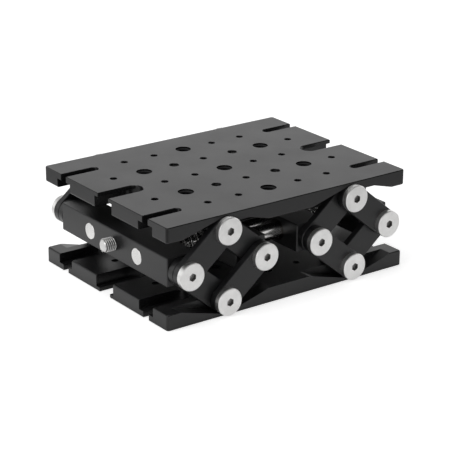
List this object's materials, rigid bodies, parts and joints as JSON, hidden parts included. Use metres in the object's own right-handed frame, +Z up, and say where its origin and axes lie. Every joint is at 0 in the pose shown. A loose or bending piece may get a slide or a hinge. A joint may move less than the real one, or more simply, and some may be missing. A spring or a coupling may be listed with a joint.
{
  "type": "lab jack",
  "caption": "Low lab jack: a slotted platform with a grid of holes, raised above a like base plate by two scissor linkages that one lead screw drives.",
  "frame": {"origin": "centre of the base plate's bottom face, on the axis of its middle hole", "axes": "+X along the plates' long side and the lead screw, towards the knob; +Z up; -Y is the near side"},
  "size_m": [0.218, 0.1596, 0.071],
  "materials": {
    "base_plate": "matt black anodised",
    "top_plate": "matt black anodised",
    "arms": "matt black anodised",
    "blocks": "matt black anodised",
    "pivot_screws": "turned bright stainless steel",
    "washers": "dark bearing plastic",
    "bronze": "blackened bearing bronze",
    "guide_rods": "ground bright steel",
    "springs": "spring steel",
    "lead_screw": "rolled bright steel",
    "knob": "matt black anodised",
    "small_screws": "black oxide"
  },
  "bodies": {
    "base": {"base_plate": "base_plate", "base_pivot_screws": "pivot_screws", "base_pivot_washers": "washers"},
    "platform": {"top_plate": "top_plate", "top_pivot_screws": "pivot_screws", "top_pivot_washers": "washers"},
    "carriage_a": {"outer_left_block": "blocks", "inner_right_block": "blocks", "guide_rod_a_near": "guide_rods", "guide_rod_a_far": "guide_rods", "lead_nut": "bronze", "lead_nut_screws": "small_screws", "inner_right_guide_bushes": "bronze", "outer_left_pivot_screws": "pivot_screws", "outer_left_pivot_washers": "washers", "inner_right_pivot_screws": "pivot_screws", "inner_right_pivot_washers": "washers", "spring_a_near": "springs", "spring_a_far": "springs"},
    "carriage_b": {"inner_left_block": "blocks", "outer_right_block": "blocks", "guide_rod_b_near": "guide_rods", "guide_rod_b_far": "guide_rods", "inner_left_guide_bushes": "bronze", "lead_screw_bushes": "bronze", "inner_left_pivot_screws": "pivot_screws", "inner_left_pivot_washers": "washers", "outer_right_pivot_screws": "pivot_screws", "outer_right_pivot_washers": "washers", "spring_b_near": "springs", "spring_b_far": "springs"},
    "lead_screw": {"lead_screw": "lead_screw", "shaft_collar": "knob", "knob": "knob", "grub_screws": "small_screws"},
    "left_lower_outer_arms": {"left_lower_outer_arm_near": "arms", "left_lower_outer_arm_far": "arms", "left_lower_outer_arm_bushes": "bronze"},
    "left_lower_inner_arms": {"left_lower_inner_arm_near": "arms", "left_lower_inner_arm_far": "arms", "left_lower_inner_arm_bushes": "bronze"},
    "left_upper_outer_arms": {"left_upper_outer_arm_near": "arms", "left_upper_outer_arm_far": "arms", "left_upper_outer_arm_bushes": "bronze"},
    "left_upper_inner_arms": {"left_upper_inner_arm_near": "arms", "left_upper_inner_arm_far": "arms", "left_upper_inner_arm_bushes": "bronze"},
    "right_lower_outer_arms": {"right_lower_outer_arm_near": "arms", "right_lower_outer_arm_far": "arms", "right_lower_outer_arm_bushes": "bronze"},
    "right_lower_inner_arms": {"right_lower_inner_arm_near": "arms", "right_lower_inner_arm_far": "arms", "right_lower_inner_arm_bushes": "bronze"},
    "right_upper_outer_arms": {"right_upper_outer_arm_near": "arms", "right_upper_outer_arm_far": "arms", "right_upper_outer_arm_bushes": "bronze"},
    "right_upper_inner_arms": {"right_upper_inner_arm_near": "arms", "right_upper_inner_arm_far": "arms", "right_upper_inner_arm_bushes": "bronze"}
  },
  "joints": [
    {"name": "lift", "type": "hinge", "parent": "base", "child": "left_lower_outer_arms", "pos_m": [-0.053, 0, 0.0108], "axis": [0, 1, 0], "range_deg": [-23.17, 21.13], "deforming": ["spring_a_near", "spring_a_far", "spring_b_near", "spring_b_far"]},
    {"name": "left_lower_inner_pivot", "type": "hinge", "parent": "base", "child": "left_lower_inner_arms", "pos_m": [-0.053, 0, 0.0108], "axis": [0, 1, 0], "range_deg": [-21.13, 23.17]},
    {"name": "right_lower_inner_pivot", "type": "hinge", "parent": "base", "child": "right_lower_inner_arms", "pos_m": [0.053, 0, 0.0108], "axis": [0, 1, 0], "range_deg": [-23.17, 21.13]},
    {"name": "right_lower_outer_pivot", "type": "hinge", "parent": "base", "child": "right_lower_outer_arms", "pos_m": [0.053, 0, 0.0108], "axis": [0, 1, 0], "range_deg": [-21.13, 23.17]},
    {"name": "carriage_a_pivot", "type": "hinge", "parent": "left_lower_outer_arms", "child": "carriage_a", "pos_m": [-0.083, 0, 0.0355], "axis": [0, 1, 0], "range_deg": [-21.13, 23.17]},
    {"name": "carriage_b_pivot", "type": "hinge", "parent": "left_lower_inner_arms", "child": "carriage_b", "pos_m": [-0.023, 0, 0.0355], "axis": [0, 1, 0], "range_deg": [-23.17, 21.13]},
    {"name": "left_upper_outer_pivot", "type": "hinge", "parent": "carriage_a", "child": "left_upper_outer_arms", "pos_m": [-0.083, 0, 0.0355], "axis": [0, 1, 0], "range_deg": [-21.13, 23.17]},
    {"name": "left_upper_inner_pivot", "type": "hinge", "parent": "carriage_b", "child": "left_upper_inner_arms", "pos_m": [-0.023, 0, 0.0355], "axis": [0, 1, 0], "range_deg": [-23.17, 21.13]},
    {"name": "right_upper_inner_pivot", "type": "hinge", "parent": "carriage_a", "child": "right_upper_inner_arms", "pos_m": [0.023, 0, 0.0355], "axis": [0, 1, 0], "range_deg": [-21.13, 23.17]},
    {"name": "right_upper_outer_pivot", "type": "hinge", "parent": "carriage_b", "child": "right_upper_outer_arms", "pos_m": [0.083, 0, 0.0355], "axis": [0, 1, 0], "range_deg": [-23.17, 21.13]},
    {"name": "platform_pivot", "type": "hinge", "parent": "left_upper_outer_arms", "child": "platform", "pos_m": [-0.053, 0, 0.06021], "axis": [0, 1, 0], "range_deg": [-23.17, 21.13]},
    {"name": "lead_screw_turn", "type": "hinge", "parent": "carriage_b", "child": "lead_screw", "pos_m": [0.083, 0, 0.0355], "axis": [1, 0, 0], "continuous": true}
  ],
  "couplings": [
    {"joint": "left_lower_inner_pivot", "follows": "lift", "ratio": -1},
    {"joint": "right_lower_inner_pivot", "follows": "lift", "ratio": 1},
    {"joint": "right_lower_outer_pivot", "follows": "lift", "ratio": -1},
    {"joint": "carriage_a_pivot", "follows": "lift", "ratio": -1},
    {"joint": "carriage_b_pivot", "follows": "lift", "ratio": 1},
    {"joint": "left_upper_outer_pivot", "follows": "lift", "ratio": -1},
    {"joint": "left_upper_inner_pivot", "follows": "lift", "ratio": 1},
    {"joint": "right_upper_inner_pivot", "follows": "lift", "ratio": -1},
    {"joint": "right_upper_outer_pivot", "follows": "lift", "ratio": 1},
    {"joint": "platform_pivot", "follows": "lift", "ratio": 1}
  ]
}
